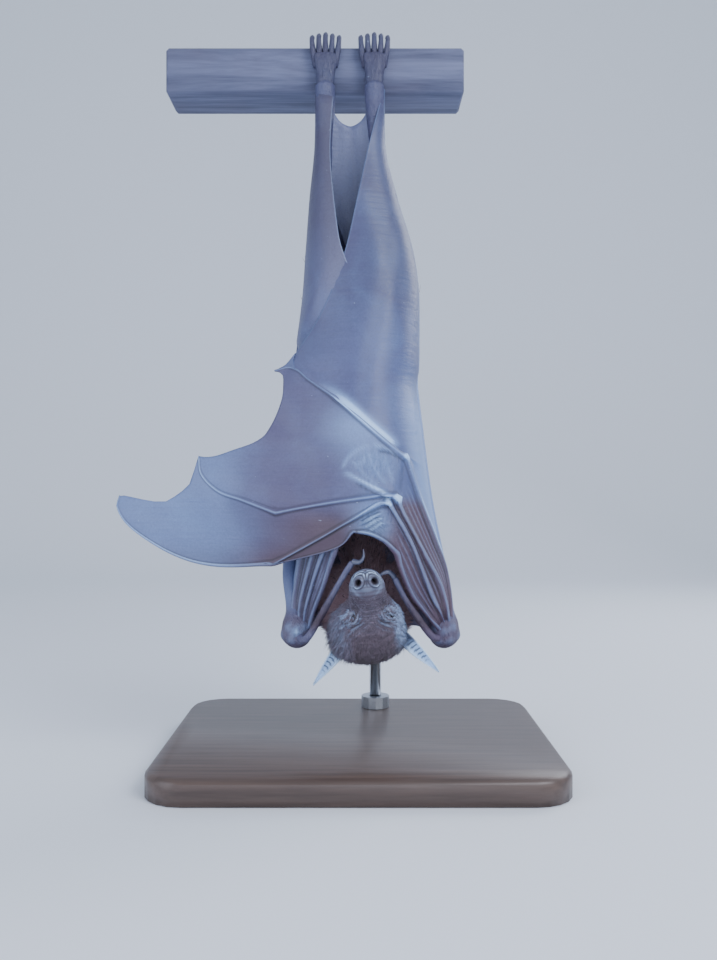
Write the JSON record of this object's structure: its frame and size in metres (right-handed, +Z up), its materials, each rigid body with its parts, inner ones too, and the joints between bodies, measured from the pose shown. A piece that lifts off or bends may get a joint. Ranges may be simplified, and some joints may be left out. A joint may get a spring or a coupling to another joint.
{
  "type": "fruit bat",
  "caption": "Life-size still model of a roosting fruit bat, hanging by its feet from a cut length of beam on a display stand, wings folded round its body.",
  "frame": {"origin": "centre of the base plate's underside, where the stand rests", "axes": "+Z up along the hanging body, from its head to its feet; -Y toward the bat's belly and face; +X toward the bat's own right"},
  "size_m": [0.3294, 0.24, 0.5805],
  "materials": {
    "fur": "short dense fur, dark brown",
    "wing_skin": "thin bare skin, slate grey with a soft sheen",
    "claw": "polished dark horn",
    "eye": "wet, dark brown",
    "wood": "weathered, unvarnished",
    "base_wood": "stained, satin varnish",
    "steel": "brushed"
  },
  "bodies": {
    "root": {"claw_left_1": "claw", "claw_left_2": "claw", "claw_left_3": "claw", "claw_left_4": "claw", "claw_left_5": "claw", "claw_right_1": "claw", "claw_right_2": "claw", "claw_right_3": "claw", "claw_right_4": "claw", "claw_right_5": "claw", "ear_left": "wing_skin", "ear_right": "wing_skin", "eye_left": "eye", "eye_right": "eye", "foot_left": "wing_skin", "foot_right": "wing_skin", "head": "fur", "leg_left": "fur", "leg_right": "fur", "neck": "fur", "perch_beam": "wood", "stand_base": "base_wood", "stand_collar": "steel", "stand_rod": "steel", "tail_membrane": "wing_skin", "trunk": "fur", "wing_left_back_membrane": "wing_skin", "wing_left_digit_2": "wing_skin", "wing_left_digit_2_claw": "claw", "wing_left_digit_3": "wing_skin", "wing_left_digit_4": "wing_skin", "wing_left_digit_5": "wing_skin", "wing_left_forearm": "wing_skin", "wing_left_front_membrane": "wing_skin", "wing_left_shoulder_membrane": "wing_skin", "wing_left_thumb": "wing_skin", "wing_left_thumb_claw": "claw", "wing_left_upper_arm": "fur", "wing_left_web_2_3": "wing_skin", "wing_left_web_3_4": "wing_skin", "wing_left_web_4_5": "wing_skin", "wing_right_back_membrane": "wing_skin", "wing_right_digit_2": "wing_skin", "wing_right_digit_2_claw": "claw", "wing_right_digit_3": "wing_skin", "wing_right_digit_4": "wing_skin", "wing_right_digit_5": "wing_skin", "wing_right_forearm": "wing_skin", "wing_right_front_membrane": "wing_skin", "wing_right_shoulder_membrane": "wing_skin", "wing_right_thumb": "wing_skin", "wing_right_thumb_claw": "claw", "wing_right_upper_arm": "fur", "wing_right_web_2_3": "wing_skin", "wing_right_web_3_4": "wing_skin", "wing_right_web_4_5": "wing_skin"}
  },
  "joints": []
}
